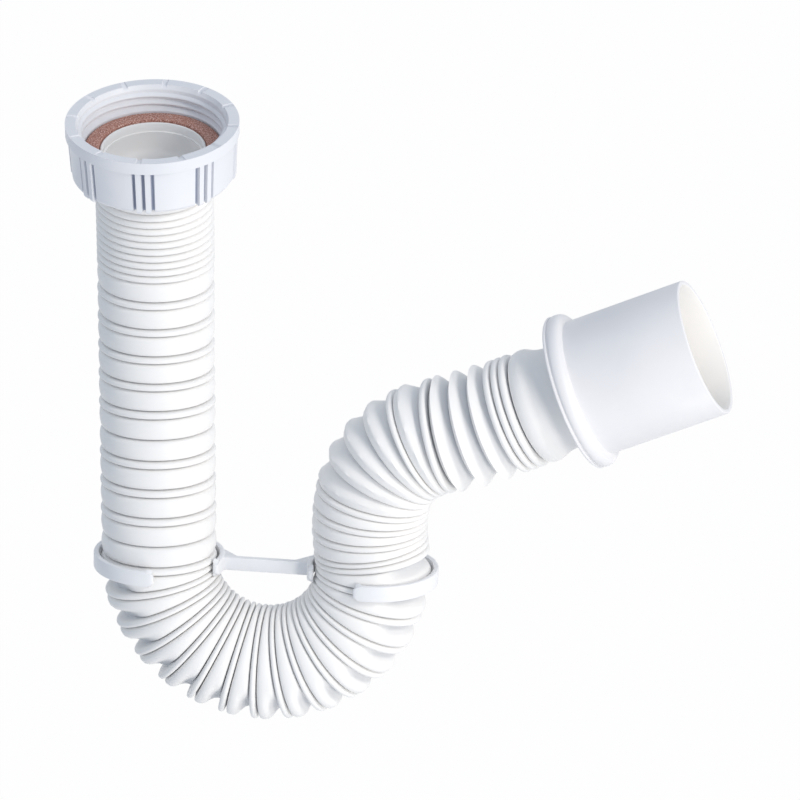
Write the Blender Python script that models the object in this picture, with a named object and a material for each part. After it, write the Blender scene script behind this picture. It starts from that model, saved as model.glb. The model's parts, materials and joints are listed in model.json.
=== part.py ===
"""Extendable flexible waste pipe, bent into a trap.

A blow-moulded bellows pipe hangs from a union nut, turns round a U-bend and runs out to a rigid
40 mm spigot. A clip of two open C rings keeps the legs of the U-bend side by side.

Row frame: the origin is the centre of the inlet's sealing face, which is the washer's upper face.
+Z points up along the inlet, +X towards the outlet and -Y to the front.
"""

from collections import namedtuple
from math import asin, cos, pi, radians, sin

import bmesh
import bpy
from mathutils import Matrix, Vector

MM = 0.001

# Bellows folds: pitch of an open fold, of a shut one, and of any fold where it is pressed together
OPEN_PITCH = 6.37 * MM
SHUT_PITCH = 2.40 * MM
PRESSED_PITCH = 1.62 * MM
CREST_R = 16.8 * MM
SHUT_CREST_R = 17.0 * MM
VALLEY_R = 13.1 * MM
BELLOWS_WALL = 0.8 * MM
RIDGE_R = 17.1 * MM
FOLD_SIDES = 16

# Hump of a fold, as shares of its length and the radius there: an open fold is a barrel where the pipe
# is straight, fans out in the U-bend, has a ridge in the upper bend and is a cone in the run
HUMPS = {
    "shut": ((0.2, SHUT_CREST_R - 0.3 * MM), (0.8, SHUT_CREST_R - 0.3 * MM)),
    "pinched": ((0.5, SHUT_CREST_R),),
    "barrel": ((0.12, CREST_R - 0.4 * MM), (0.89, CREST_R - 0.7 * MM)),
    "fan": ((0.14, CREST_R - 0.2 * MM), (0.82, CREST_R - 1.6 * MM)),
    "ridge": ((0.12, CREST_R - 0.8 * MM), (0.58, RIDGE_R), (0.93, CREST_R - 1.5 * MM)),
    "cone": ((0.27, RIDGE_R), (0.62, CREST_R - 1.5 * MM)),
}

# The pipe's course, as folds in order (e open, c shut), degrees turned towards the outlet, degrees
# turned towards the front, whether the inner side of the turn is pressed together, and the hump of
# its open folds
COURSE = (
    ("cc", 0.0, 0.0, False, "barrel"),
    ("c" * 9 + "ec" * 4 + "e", 1.5, -14.7, False, "barrel"),
    ("ceecececeec", 0.0, 0.0, False, "barrel"),
    ("ece" + "ce" * 13 + "c", 187.3, 0.0, True, "fan"),
    ("c", 0.0, -3.1, False, "barrel"),
    ("ec" * 3, -20.3, 0.0, True, "barrel"),
    ("eeeece", -60.4, -4.5, True, "ridge"),
    ("ceeeccc", 7.0, 1.0, False, "cone"),
)

# Union nut for a G1 1/4 tail
THREAD_BORE_R = 19.7 * MM
THREAD_DEPTH = 8.0 * MM
NUT_WALL = 3.5 * MM
NUT_TAPER = 0.7 * MM
RIM_PROUD = 0.8 * MM
RIM_HEIGHT = 3.5 * MM
NUT_FLOOR_T = 3.2 * MM
GRIP_GROUPS = 8
GRIP_FIRST_DEG = -94.0
GROOVES_EACH = 3
GROOVE_STEP_DEG = 6.5
GROOVE_WIDTH_DEG = 2.4
GROOVE_DEPTH = 0.8 * MM

# Washer, and the pipe's flange and throat under it
WASHER_CLEARANCE = 0.3 * MM
WASHER_WIDTH = 4.1 * MM
WASHER_T = 2.4 * MM
SEAT_GAP = 0.1 * MM
FLANGE_CLEARANCE = 0.4 * MM
FLANGE_T = 2.6 * MM
NUT_SEAT_GAP = 0.3 * MM
THROAT_R = 14.3 * MM
THROAT_WALL = 1.6 * MM
NECK_HEIGHT = 6.0 * MM
NECK_CLEARANCE = 0.8 * MM

# Cuff of the pipe, from the last valley to the snap rim inside the spigot
CUFF_CREST_AT = 4.0 * MM
CUFF_NECK_AT = 9.5 * MM
CUFF_NECK_R = 15.0 * MM
CUFF_WALL = 1.4 * MM
CUFF_LENGTH = 14.5 * MM
SNAP_RIM_CLEARANCE = 0.8 * MM
SNAP_RIM_T = 2.0 * MM
SNAP_GAP = 0.3 * MM

# Outlet spigot
SPIGOT_R = 20.0 * MM
SPIGOT_WALL = 2.0 * MM
SPIGOT_LENGTH = 40.8 * MM
BEAD_PROUD = 2.9 * MM
BEAD_LENGTH = 5.2 * MM
BEAD_WEB_T = 2.0 * MM
WEB_CLEARANCE = 0.4 * MM
ROUND_SIDES = 40

# Trap clip
CLIP_CLEARANCE = 0.7 * MM
CLIP_T = 1.6 * MM
CLIP_BAND = 4.8 * MM
CLIP_BAR_T = 2.2 * MM
CLIP_BAR_H = 4.1 * MM
CLIP_ARM_DEG = 20.0
CLIP_FRONT_LEFT_DEG = 274.0
CLIP_FRONT_RIGHT_DEG = 101.0
CLIP_WEB = 5.0 * MM

# Sizes that follow from the ones above
WASHER_R = THREAD_BORE_R - WASHER_CLEARANCE
WASHER_BORE_R = WASHER_R - WASHER_WIDTH
FLANGE_R = THREAD_BORE_R - FLANGE_CLEARANCE
FLANGE_TOP_Z = -WASHER_T - SEAT_GAP
FLANGE_FOOT_Z = FLANGE_TOP_Z - FLANGE_T
FOLDS_START_Z = FLANGE_FOOT_Z - NECK_HEIGHT
NECK_R = THROAT_R + THROAT_WALL
NUT_FLOOR_Z = FLANGE_FOOT_Z - NUT_SEAT_GAP
NUT_FOOT_Z = NUT_FLOOR_Z - NUT_FLOOR_T
NUT_FLOOR_BORE_R = max(NECK_R, SHUT_CREST_R) + NECK_CLEARANCE
NUT_BODY_R = THREAD_BORE_R + NUT_WALL + NUT_TAPER
RIM_R = NUT_BODY_R + RIM_PROUD
BORE_R = VALLEY_R - BELLOWS_WALL
SPIGOT_BORE_R = SPIGOT_R - SPIGOT_WALL
SNAP_RIM_R = SPIGOT_BORE_R - SNAP_RIM_CLEARANCE
SNAP_RIM_AT = CUFF_LENGTH + BEAD_WEB_T + SNAP_GAP
WEB_BORE_R = CUFF_NECK_R + WEB_CLEARANCE
BEAD_R = SPIGOT_R + BEAD_PROUD
CLIP_BORE_R = max(CREST_R, SHUT_CREST_R) + CLIP_CLEARANCE

Station = namedtuple("Station", "point along side")

MATERIALS = {
    "coupling_nut": ((0.86, 0.88, 0.91, 1.0), 0.38),
    "sealing_washer": ((0.30, 0.13, 0.10, 1.0), 0.85),
    "bellows_pipe": ((0.90, 0.89, 0.87, 1.0), 0.42),
    "outlet_spigot": ((0.87, 0.88, 0.90, 1.0), 0.40),
    "trap_clip": ((0.87, 0.89, 0.92, 1.0), 0.38),
}


def turned(axis, angle):
    """Rotation by an angle about an axis through the origin."""
    return Matrix.Rotation(angle, 3, axis)


def part_way(station, share, length, bend, tip):
    """The station a share of the way through a fold that starts at the given one."""
    point, along, side = station
    across = side.cross(along)
    chord = turned(across, share * tip / 2) @ turned(side, share * bend / 2) @ along
    tipped = turned(across, share * tip)
    swung = tipped @ turned(side, share * bend)
    return Station(point + chord * (share * length), swung @ along, tipped @ side)


def fold_plan(pattern, turn_deg, tip_deg, pressed):
    """Length, bend and tip of each fold in one section of the course."""
    total = radians(turn_deg)
    tip = radians(tip_deg) / len(pattern)
    shut_bend = 0.0
    if pressed:
        shut_bend = (SHUT_PITCH - PRESSED_PITCH) / (2 * CREST_R) * (1 if total > 0 else -1)
    opens = max(pattern.count("e"), 1)
    open_bend = (total - pattern.count("c") * shut_bend) / opens
    plan = []
    for kind in pattern:
        bend = open_bend if kind == "e" else shut_bend
        length = OPEN_PITCH if kind == "e" else SHUT_PITCH
        if pressed:
            length = PRESSED_PITCH + abs(bend) * CREST_R
        plan.append((kind, length, bend, tip))
    return plan


def lay_course():
    """Every fold of the pipe as (kind, hump, first station, length, bend, tip), and the last station."""
    station = Station(Vector((0, 0, FOLDS_START_Z)), Vector((0, 0, -1)), Vector((0, -1, 0)))
    folds = []
    for pattern, turn_deg, tip_deg, pressed, hump in COURSE:
        for kind, length, bend, tip in fold_plan(pattern, turn_deg, tip_deg, pressed):
            shut = "pinched" if pressed else "shut"
            shape = hump if kind == "e" else shut
            folds.append((kind, shape, station, length, bend, tip))
            station = part_way(station, 1.0, length, bend, tip)
    return folds, station


def first_fold_of(section):
    """Index of the fold that a section of the course starts with."""
    return sum(len(row[0]) for row in COURSE[:section])


def circle(station, radius, sides):
    """Points of a circle round a station's axis, starting at its side vector."""
    across = station.side.cross(station.along)
    points = []
    for step in range(sides):
        angle = 2 * pi * step / sides
        offset = station.side * cos(angle) + across * sin(angle)
        points.append(station.point + offset * radius)
    return points


def shifted(station, distance):
    """The station moved along its own axis."""
    return Station(station.point + station.along * distance, station.along, station.side)


def finish_mesh(name, mesh_data, origin):
    """Object of its own material, with its origin at the given point and normals facing out."""
    bmesh.ops.recalc_face_normals(mesh_data, faces=mesh_data.faces)
    if mesh_data.calc_volume(signed=True) < 0:
        bmesh.ops.reverse_faces(mesh_data, faces=mesh_data.faces)
    bmesh.ops.translate(mesh_data, verts=mesh_data.verts, vec=-origin)
    mesh = bpy.data.meshes.new(name)
    mesh_data.to_mesh(mesh)
    mesh_data.free()
    made = bpy.data.objects.new(name, mesh)
    made.location = origin
    bpy.context.scene.collection.objects.link(made)
    return made


def paint(made):
    """Give an object its own Principled material."""
    colour, roughness = MATERIALS[made.name]
    material = bpy.data.materials.new(made.name)
    material.use_nodes = True
    shader = material.node_tree.nodes["Principled BSDF"]
    shader.inputs["Base Color"].default_value = colour
    shader.inputs["Roughness"].default_value = roughness
    made.data.materials.clear()
    made.data.materials.append(material)


def closed_loft(name, rings, origin):
    """Closed skin through a loop of rings that all have the same number of points."""
    skin = bmesh.new()
    loops = []
    for ring in rings:
        loops.append([skin.verts.new(point) for point in ring])
    for near, far in zip(loops, loops[1:] + loops[:1]):
        count = len(near)
        for step in range(count):
            after = (step + 1) % count
            skin.faces.new((near[step], near[after], far[after], far[step]))
    return finish_mesh(name, skin, origin)


def at_height(first, height, radius):
    """Ring of the pipe's straight inlet at a height of the row frame."""
    return circle(shifted(first, FOLDS_START_Z - height), radius, FOLD_SIDES)


def outer_rings(folds, last):
    """Rings of the pipe's outside from the flange under the washer to the snap rim."""
    first = folds[0][2]
    rings = [
        at_height(first, FLANGE_TOP_Z, FLANGE_R),
        at_height(first, FLANGE_FOOT_Z, FLANGE_R),
        at_height(first, FLANGE_FOOT_Z, NECK_R),
        at_height(first, FOLDS_START_Z + 0.3 * NECK_HEIGHT, NECK_R),
    ]
    for _, shape, station, length, bend, tip in folds:
        rings.append(circle(station, VALLEY_R, FOLD_SIDES))
        for share, radius in HUMPS[shape]:
            middle = part_way(station, share, length, bend, tip)
            rings.append(circle(middle, radius, FOLD_SIDES))
    slope = CUFF_NECK_AT - CUFF_CREST_AT
    for distance, radius in (
        (0.0, VALLEY_R),
        (0.45 * CUFF_CREST_AT, CREST_R - 0.4 * MM),
        (CUFF_CREST_AT, CREST_R),
        (CUFF_CREST_AT + 0.75 * slope, CUFF_NECK_R + 0.5 * MM),
        (CUFF_NECK_AT, CUFF_NECK_R),
        (SNAP_RIM_AT, CUFF_NECK_R),
        (SNAP_RIM_AT, SNAP_RIM_R),
        (SNAP_RIM_AT + SNAP_RIM_T, SNAP_RIM_R),
    ):
        rings.append(circle(shifted(last, distance), radius, FOLD_SIDES))
    return rings


def inner_rings(folds, last):
    """Rings of the pipe's bore in the same order; shut folds are pressed into one solid wall."""
    first = folds[0][2]
    rings = [
        at_height(first, FLANGE_TOP_Z, THROAT_R),
        at_height(first, FOLDS_START_Z + 0.3 * NECK_HEIGHT, THROAT_R - 0.6 * MM),
    ]
    before = "e"
    for kind, _, station, length, bend, tip in folds:
        if kind == "e" or before == "e" or bend:
            rings.append(circle(station, BORE_R, FOLD_SIDES))
        if kind == "e":
            middle = part_way(station, 0.5, length, bend, tip)
            rings.append(circle(middle, CREST_R - 2 * BELLOWS_WALL, FOLD_SIDES))
        before = kind
    for distance, radius in (
        (0.0, BORE_R),
        (CUFF_CREST_AT, CREST_R - 2 * BELLOWS_WALL),
        (CUFF_NECK_AT, CUFF_NECK_R - CUFF_WALL),
        (SNAP_RIM_AT + SNAP_RIM_T, CUFF_NECK_R - CUFF_WALL),
    ):
        rings.append(circle(shifted(last, distance), radius, FOLD_SIDES))
    return rings


def make_bellows(folds, last):
    """The pipe: flange, throat, folds and cuff in one closed wall."""
    rings = outer_rings(folds, last) + inner_rings(folds, last)[::-1]
    return closed_loft("bellows_pipe", rings, Vector((0, 0, 0)))


def revolved(name, station, profile, sides, origin):
    """Closed profile of (radius, distance along the axis) turned about a station's axis."""
    rings = [circle(shifted(station, along), radius, sides) for radius, along in profile]
    return closed_loft(name, rings, origin)


def make_washer():
    """Flat rubber ring whose upper face is the sealing face."""
    axis = Station(Vector((0, 0, 0)), Vector((0, 0, -1)), Vector((0, -1, 0)))
    profile = (
        (WASHER_BORE_R, 0.0),
        (WASHER_R, 0.0),
        (WASHER_R, WASHER_T),
        (WASHER_BORE_R, WASHER_T),
    )
    return revolved("sealing_washer", axis, profile, ROUND_SIDES, Vector((0, 0, 0)))


def nut_stations():
    """Angles round the nut, each with its share of the groove's depth."""
    stations = []
    group_step = 2 * pi / GRIP_GROUPS
    half = radians(GROOVE_WIDTH_DEG) / 2
    lip = half * 0.7
    reach = (GROOVES_EACH - 1) / 2
    for group in range(GRIP_GROUPS):
        middle = radians(GRIP_FIRST_DEG) + group * group_step
        for groove in range(GROOVES_EACH):
            centre = middle + (groove - reach) * radians(GROOVE_STEP_DEG)
            stations.append((centre - half, 0.0))
            stations.append((centre - lip, 1.0))
            stations.append((centre + lip, 1.0))
            stations.append((centre + half, 0.0))
        span = group_step - 2 * reach * radians(GROOVE_STEP_DEG) - 2 * half
        start = middle + reach * radians(GROOVE_STEP_DEG) + half
        stations.append((start + span / 2, 0.0))
    return stations


def make_nut():
    """Loose union nut with a plain rim, gripping grooves and a floor under the flange."""
    shoulder_z = THREAD_DEPTH - RIM_HEIGHT
    foot_r = NUT_BODY_R - NUT_TAPER
    # radius, height, and whether the grooves cut this point
    profile = (
        (THREAD_BORE_R + 0.3 * NUT_WALL, THREAD_DEPTH, False),
        (RIM_R, THREAD_DEPTH, False),
        (RIM_R, shoulder_z, False),
        (NUT_BODY_R, shoulder_z, True),
        (foot_r, NUT_FOOT_Z + 0.3 * NUT_FLOOR_T, True),
        (foot_r - 0.6 * MM, NUT_FOOT_Z, True),
        (NUT_FLOOR_BORE_R, NUT_FOOT_Z, False),
        (NUT_FLOOR_BORE_R, NUT_FLOOR_Z, False),
        (THREAD_BORE_R, NUT_FLOOR_Z, False),
        (THREAD_BORE_R, THREAD_DEPTH - 0.9 * MM, False),
    )
    columns = nut_stations()
    rings = []
    for radius, height, grooved in profile:
        ring = []
        for angle, depth_share in columns:
            reach = radius - GROOVE_DEPTH * depth_share if grooved else radius
            ring.append(Vector((reach * cos(angle), reach * sin(angle), height)))
        rings.append(ring)
    return closed_loft("coupling_nut", rings, Vector((0, 0, 0)))


def bead_profile():
    """Section of the spigot from its web bore over the bead to the mouth and back down the bore."""
    points = [(WEB_BORE_R, 0.0), (BEAD_R - 0.5 * MM, 0.0), (BEAD_R, 0.4 * MM), (BEAD_R, 1.0 * MM)]
    for step in range(1, 4):
        angle = pi / 2 * step / 4
        radius = SPIGOT_R + (BEAD_R - SPIGOT_R) * cos(angle)
        distance = 1.0 * MM + (BEAD_LENGTH - 1.0 * MM) * sin(angle)
        points.append((radius, distance))
    points.append((SPIGOT_R, BEAD_LENGTH))
    points.append((SPIGOT_R, SPIGOT_LENGTH - 0.4 * MM))
    points.append((SPIGOT_R - 0.4 * MM, SPIGOT_LENGTH))
    points.append((SPIGOT_BORE_R + 0.4 * MM, SPIGOT_LENGTH))
    points.append((SPIGOT_BORE_R, SPIGOT_LENGTH - 0.4 * MM))
    points.append((SPIGOT_BORE_R, BEAD_WEB_T))
    points.append((WEB_BORE_R, BEAD_WEB_T))
    return points


def make_spigot(last):
    """Rigid sleeve whose web closes round the cuff's neck behind the snap rim."""
    bead = shifted(last, CUFF_LENGTH)
    return revolved("outlet_spigot", bead, bead_profile(), ROUND_SIDES, bead.point)


def arc_band(centre_u, first, final, steps=16):
    """Outline of a C ring in the clip's plane between two angles, with rounded ends."""
    inner = CLIP_BORE_R
    outer = CLIP_BORE_R + CLIP_T
    middle = (inner + outer) / 2
    half = CLIP_T / 2
    sign = 1 if final > first else -1
    outline = []
    for step in range(steps + 1):
        angle = first + (final - first) * step / steps
        outline.append((centre_u + outer * cos(angle), outer * sin(angle)))
    outline.extend(round_end(centre_u, middle, half, final, sign, 1))
    for step in range(steps + 1):
        angle = final + (first - final) * step / steps
        outline.append((centre_u + inner * cos(angle), inner * sin(angle)))
    outline.extend(round_end(centre_u, middle, half, first, -sign, -1))
    return outline


def round_end(centre_u, middle, half, angle, sign, outward):
    """Points of the half circle that closes a C ring's end, without its two corners."""
    points = []
    for step in range(1, 4):
        swing = pi * step / 4
        reach = middle + outward * half * cos(swing)
        push = sign * half * sin(swing)
        u = centre_u + reach * cos(angle) - push * sin(angle)
        v = reach * sin(angle) + push * cos(angle)
        points.append((u, v))
    return points


def bar_outline(gap):
    """Outline of the bar between the rings, with a triangular web at each end behind it."""
    half = CLIP_BAR_T / 2
    outer = CLIP_BORE_R + CLIP_T
    seat = outer - 0.6 * CLIP_T
    start = seat * cos(asin(half / seat))
    web_angle = asin((half + CLIP_WEB) / outer)
    web_u = seat * cos(web_angle)
    web_v = seat * sin(web_angle)
    foot = outer + CLIP_WEB * 0.45
    return [
        (start, -half),
        (gap - start, -half),
        (gap - start, half),
        (gap - web_u, web_v),
        (gap - foot, half),
        (foot, half),
        (web_u, web_v),
        (start, half),
    ]


def plate(name, outline, height, plane, origin):
    """Closed plate of a flat outline, centred on the plane (u axis, v axis, normal)."""
    u_axis, v_axis, normal = plane
    body = bmesh.new()
    lower = []
    upper = []
    for u, v in outline:
        point = origin + u_axis * u + v_axis * v
        lower.append(body.verts.new(point - normal * height / 2))
        upper.append(body.verts.new(point + normal * height / 2))
    count = len(outline)
    for step in range(count):
        after = (step + 1) % count
        body.faces.new((lower[step], lower[after], upper[after], upper[step]))
    body.faces.new(lower)
    body.faces.new(upper)
    return finish_mesh(name, body, Vector((0, 0, 0)))


def join_solids(made, others):
    """Unite other closed objects with the first one, and remove them."""
    for other in others:
        union = made.modifiers.new("union", "BOOLEAN")
        union.operation = "UNION"
        union.solver = "EXACT"
        union.object = other
    bpy.context.view_layer.update()
    graph = bpy.context.evaluated_depsgraph_get()
    joined = bpy.data.meshes.new_from_object(made.evaluated_get(graph))
    made.modifiers.clear()
    made.data = joined
    for other in others:
        bpy.data.objects.remove(other)
    return made


def clip_stations(folds):
    """Stations where the clip's rings go round the down leg and round the rising leg."""
    bend_start = first_fold_of(3)
    bend_end = first_fold_of(4)
    return folds[bend_start][2], folds[bend_end - 2][2]


def make_clip(folds):
    """Two open C rings joined by a bar, in one flat moulding across both legs."""
    left, right = clip_stations(folds)
    link = right.point - left.point
    gap = link.length
    u_axis = link.normalized()
    rising = (right.along - left.along).normalized()
    v_axis = rising.cross(u_axis).normalized()
    normal = u_axis.cross(v_axis)
    plane = (u_axis, v_axis, normal)
    arm = radians(CLIP_ARM_DEG)
    left_band = arc_band(0.0, -arm, radians(CLIP_FRONT_LEFT_DEG))
    right_band = arc_band(gap, pi + arm, -radians(CLIP_FRONT_RIGHT_DEG))
    made = plate("trap_clip", left_band, CLIP_BAND, plane, left.point)
    second = plate("clip_ring", right_band, CLIP_BAND, plane, left.point)
    bar = plate("clip_bar", bar_outline(gap), CLIP_BAR_H, plane, left.point)
    return join_solids(made, [second, bar])


def main():
    """Clear the scene and build every piece of the pipe."""
    for old in list(bpy.data.objects):
        bpy.data.objects.remove(old)
    folds, last = lay_course()
    pieces = [
        make_nut(),
        make_washer(),
        make_bellows(folds, last),
        make_spigot(last),
        make_clip(folds),
    ]
    for piece in pieces:
        paint(piece)


main()
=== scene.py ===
"""Looks of an extendable flexible waste pipe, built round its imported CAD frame.

The pipe is one blow-moulded bellows bent into a trap: it hangs from a union nut, turns round a
U-bend that a clip holds together, and runs out to a rigid spigot. The row frame's origin is the
centre of the inlet's sealing face, +Z points up, +X towards the outlet and -Y to the front.
"""

from __future__ import annotations

import json
import logging
from dataclasses import dataclass, field
from enum import Enum
from math import asin, atan2, cos, degrees, hypot, pi, radians, sin, tau
from typing import Callable, NamedTuple, Sequence

import bmesh
import bpy
from mathutils import Matrix, Vector


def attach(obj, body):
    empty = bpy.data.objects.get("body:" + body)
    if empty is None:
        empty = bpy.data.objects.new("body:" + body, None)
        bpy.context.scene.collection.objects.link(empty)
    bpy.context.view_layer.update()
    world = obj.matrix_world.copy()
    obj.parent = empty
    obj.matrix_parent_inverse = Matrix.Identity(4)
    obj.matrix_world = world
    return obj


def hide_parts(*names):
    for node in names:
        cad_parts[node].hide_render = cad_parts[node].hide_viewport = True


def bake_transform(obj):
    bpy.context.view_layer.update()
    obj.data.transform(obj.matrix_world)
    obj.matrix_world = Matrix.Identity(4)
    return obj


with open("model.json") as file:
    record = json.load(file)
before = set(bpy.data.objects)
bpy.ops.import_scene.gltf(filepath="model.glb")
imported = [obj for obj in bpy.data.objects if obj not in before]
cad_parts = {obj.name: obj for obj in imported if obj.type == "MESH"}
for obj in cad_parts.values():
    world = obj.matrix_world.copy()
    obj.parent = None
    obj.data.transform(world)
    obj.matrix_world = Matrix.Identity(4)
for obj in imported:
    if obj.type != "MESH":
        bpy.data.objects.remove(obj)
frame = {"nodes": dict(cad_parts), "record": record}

MM = 0.001
NEAR = 0.02 * MM
LOG = logging.getLogger("waste_pipe")


class Body(Enum):
    """CAD bodies that the pieces ride on."""

    PIPE = "pipe"
    NUT = "nut"
    OUTLET = "outlet"


class Fold(Enum):
    """States of one fold of the bellows."""

    OPEN = "e"
    SHUT = "c"


class Hump(Enum):
    """Shapes of an open fold, as the column of the fold's table that gives its radius."""

    BARREL = 1
    FAN = 2
    RIDGE = 3
    CONE = 4


class Station(NamedTuple):
    """A place on the pipe's axis, its direction, and the direction of the pipe's front."""

    point: Vector
    along: Vector
    side: Vector


# Mesh helpers


def between(points: Sequence[tuple[float, float]], at: float) -> float:
    """Read a line through points at one place.

    Args:
        points: Place and value of each point, sorted by place.
        at: The place.

    Returns:
        The value there.
    """
    for (low, first), (high, final) in zip(points, points[1:]):
        if at <= high:
            return first + (final - first) * max(at - low, 0.0) / (high - low)
    return points[-1][1]


def smooth(value: float, low: float, high: float) -> float:
    """Share from 0 to 1 of a value between two limits, eased at both ends."""
    share = min(max((value - low) / (high - low), 0.0), 1.0)
    return share * share * (3 - 2 * share)


def closed_loop(
    mesh: bmesh.types.BMesh, corners: Sequence[tuple[float, float, float]]
) -> list[bmesh.types.BMVert | bmesh.types.BMEdge]:
    """Add a closed outline to a mesh.

    Args:
        mesh: The mesh.
        corners: The outline's corners in order.

    Returns:
        Its new vertices and edges.
    """
    verts = [mesh.verts.new(corner) for corner in corners]
    return verts + [mesh.edges.new(pair) for pair in zip(verts, verts[1:] + verts[:1])]


def revolve(section: Sequence[tuple[float, float]], steps: int) -> bmesh.types.BMesh:
    """Spin a closed section once round the Z axis.

    Args:
        section: Corners of the section as (radius, height).
        steps: Number of steps in the full turn.

    Returns:
        A closed mesh with its faces outwards.
    """
    mesh = bmesh.new()
    outline = closed_loop(mesh, [(radius, 0.0, height) for radius, height in section])
    bmesh.ops.spin(
        mesh, geom=outline, cent=(0, 0, 0), axis=(0, 0, 1), angle=tau, steps=steps, use_merge=True,
    )
    bmesh.ops.remove_doubles(mesh, verts=mesh.verts, dist=0.001 * MM)
    bmesh.ops.recalc_face_normals(mesh, faces=mesh.faces)
    return mesh


def round_rings(mesh: bmesh.types.BMesh, rings: Sequence[tuple[float, float, float]]) -> None:
    """Round ring edges of a turned mesh.

    Args:
        mesh: A mesh turned about the Z axis.
        rings: Radius, height and width of the rounding of each ring.
    """
    for radius, height, width in rings:
        edges = [
            edge
            for edge in mesh.edges
            if all(
                abs(hypot(vert.co.x, vert.co.y) - radius) < NEAR
                and abs(vert.co.z - height) < NEAR
                for vert in edge.verts
            )
        ]
        bmesh.ops.bevel(
            mesh, geom=edges, offset=width, segments=3, profile=0.5, affect="EDGES", material=-1
        )


def round_rims(mesh: bmesh.types.BMesh, width: float) -> None:
    """Round every edge of a mesh that is sharper than a fold of 50 degrees.

    Args:
        mesh: The mesh.
        width: Width of the rounding.
    """
    rims = [edge for edge in mesh.edges if edge.calc_face_angle(0.0) > radians(50)]
    bmesh.ops.bevel(
        mesh, geom=rims, offset=width, segments=2, profile=0.5, affect="EDGES", material=-1,
        clamp_overlap=True,
    )


def finish_piece(
    name: str, mesh: bmesh.types.BMesh, material: bpy.types.Material, crease_deg: float = 38.0
) -> bpy.types.Object:
    """Turn a finished bmesh into an object at the origin.

    Args:
        name: Name of the piece.
        mesh: The piece's mesh, which is freed.
        material: Its finish.
        crease_deg: Angle between faces past which their edge stays sharp.

    Returns:
        The new object, linked to the scene.
    """
    data = bpy.data.meshes.new(name)
    mesh.to_mesh(data)
    mesh.free()
    data.polygons.foreach_set("use_smooth", [True] * len(data.polygons))
    data.set_sharp_from_angle(angle=radians(crease_deg))
    data.materials.append(material)
    piece = bpy.data.objects.new(name, data)
    bpy.context.scene.collection.objects.link(piece)
    LOG.info("%s: %d faces", name, len(data.polygons))
    return piece


def join_bodies(parts: list[bmesh.types.BMesh]) -> bmesh.types.BMesh:
    """Put closed bodies that grow into each other in one mesh.

    Args:
        parts: The bodies, which are freed.

    Returns:
        The mesh that holds them all.
    """
    whole = bmesh.new()
    for part in parts:
        held = bpy.data.meshes.new("held")
        part.to_mesh(held)
        part.free()
        whole.from_mesh(held)
        bpy.data.meshes.remove(held)
    return whole


def to_frame(origin: Vector, x_axis: Vector, y_axis: Vector, z_axis: Vector) -> Matrix:
    """Matrix that takes a piece's own axes to the row frame."""
    turn = Matrix((x_axis, y_axis, z_axis)).transposed().to_4x4()
    return Matrix.Translation(origin) @ turn


# Finishes


class NodeSheet:
    """Short way to place and wire the nodes of one node tree."""

    def __init__(self, tree: bpy.types.NodeTree) -> None:
        """Keep the tree."""
        self.tree = tree

    def add(self, kind: str, **values: object) -> bpy.types.Node:
        """Place a node.

        Args:
            kind: The node's type name, without the ShaderNode prefix or in full.
            values: Properties by name, and sockets by name with spaces as underscores.

        Returns:
            The node.
        """
        full = kind if kind.startswith("Node") else "ShaderNode" + kind
        node = self.tree.nodes.new(full)
        for key, value in values.items():
            if hasattr(node, key):
                setattr(node, key, value)
            else:
                self.feed(node.inputs[key.replace("_", " ")], value)
        return node

    def feed(self, socket: bpy.types.NodeSocket, value: object) -> None:
        """Link an output socket to an input, or set the input's own value.

        Args:
            socket: The input.
            value: The output socket, or the value.
        """
        if isinstance(value, bpy.types.NodeSocket):
            self.tree.links.new(value, socket)
        else:
            socket.default_value = value

    def mix(self, share: object, low: object, high: object) -> bpy.types.NodeSocket:
        """Mix two colours.

        Args:
            share: Share of the second colour.
            low: The first colour.
            high: The second colour.

        Returns:
            The mixed colour's socket.
        """
        node = self.add("Mix", data_type="RGBA")
        for index, value in ((0, share), (6, low), (7, high)):
            self.feed(node.inputs[index], value)
        return node.outputs[2]

    def sum(self, operation: str, *values: object) -> bpy.types.NodeSocket:
        """Join numbers with one math operation.

        Args:
            operation: Name of the operation.
            values: Its numbers or sockets.

        Returns:
            The result's socket.
        """
        node = self.add("Math", operation=operation)
        for index, value in enumerate(values):
            self.feed(node.inputs[index], value)
        return node.outputs[0]

    def spread(
        self, value: object, low: float, high: float, to_low: float = 0.0, to_high: float = 1.0
    ) -> bpy.types.NodeSocket:
        """Map a range of numbers onto another, clamped.

        Args:
            value: The number or its socket.
            low: Where the range starts.
            high: Where it ends.
            to_low: What its start becomes.
            to_high: What its end becomes.

        Returns:
            The result's socket.
        """
        node = self.add("MapRange", Value=value)
        for index, limit in enumerate((low, high, to_low, to_high), start=1):
            self.feed(node.inputs[index], limit)
        return node.outputs[0]

    def place_group(self, group: bpy.types.NodeTree, **values: object) -> bpy.types.Node:
        """Place a node group and feed its inputs.

        Args:
            group: The group.
            values: Its inputs by name, with spaces as underscores.

        Returns:
            The group's node.
        """
        node = self.add("Group", node_tree=group)
        for key, value in values.items():
            self.feed(node.inputs[key.replace("_", " ")], value)
        return node


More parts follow.
